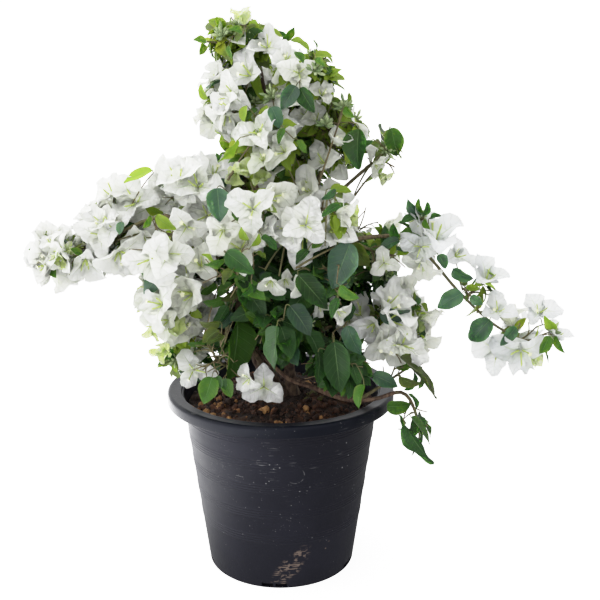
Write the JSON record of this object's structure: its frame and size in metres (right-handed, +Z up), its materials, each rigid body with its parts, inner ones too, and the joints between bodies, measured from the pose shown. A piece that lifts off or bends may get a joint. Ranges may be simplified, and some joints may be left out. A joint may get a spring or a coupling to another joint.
{
  "type": "potted bougainvillea bush",
  "caption": "Bushy flowering shrub with white papery bracts and green leaves on a leaning trunk and arching arms, standing in a tapering black plastic nursery pot.",
  "frame": {"origin": "middle of the pot's flat underside", "axes": "+Z up; -Y is the front that the picture shows; +X is to its right"},
  "size_m": [0.6983, 0.3436, 0.7268],
  "materials": {
    "pot": "scuffed near-black moulded polypropylene, satin",
    "soil": "moist peaty potting mix with husk chips",
    "bark": "rough grey-brown bark",
    "greenwood": "young green-brown bark",
    "leaves": "satin dark green leaf",
    "bracts": "thin papery white bract"
  },
  "bodies": {
    "root": {"arm_bend": "bracts", "arm_fall": "bracts", "arm_root": "bracts", "arm_tip": "bracts", "back_high": "bracts", "back_high_bough": "greenwood", "back_left": "bracts", "back_left_bough": "greenwood", "back_low": "leaves", "back_low_bough": "greenwood", "back_right": "bracts", "back_right_bough": "greenwood", "brow": "bracts", "brow_bough": "greenwood", "crown_back": "bracts", "crown_core": "bracts", "crown_front": "bracts", "crown_left": "bracts", "crown_right": "bracts", "crown_right_bough": "greenwood", "crown_side": "bracts", "crown_side_bough": "greenwood", "crown_tip": "bracts", "foot_left": "leaves", "foot_left_bough": "greenwood", "foot_right": "leaves", "foot_right_bough": "greenwood", "fore_low": "leaves", "fore_low_bough": "greenwood", "fore_right": "leaves", "fore_right_bough": "greenwood", "heart_front": "bracts", "heart_front_bough": "greenwood", "heart_right": "bracts", "heart_right_bough": "greenwood", "left_arm_inner": "bark", "left_arm_outer": "bark", "left_low": "bracts", "left_low_bough": "greenwood", "left_middle": "bracts", "left_outer": "bracts", "left_shoulder": "bracts", "left_shoulder_bough": "greenwood", "left_skirt": "bracts", "left_skirt_bough": "greenwood", "left_tip": "bracts", "low_branch": "bark", "low_right": "bracts", "low_right_bough": "greenwood", "pot": "pot", "right_arm_inner": "bark", "right_arm_outer": "bark", "right_stem": "bark", "rim_leaves": "leaves", "soil": "soil", "trailer": "leaves", "trunk": "bark"}
  },
  "joints": []
}
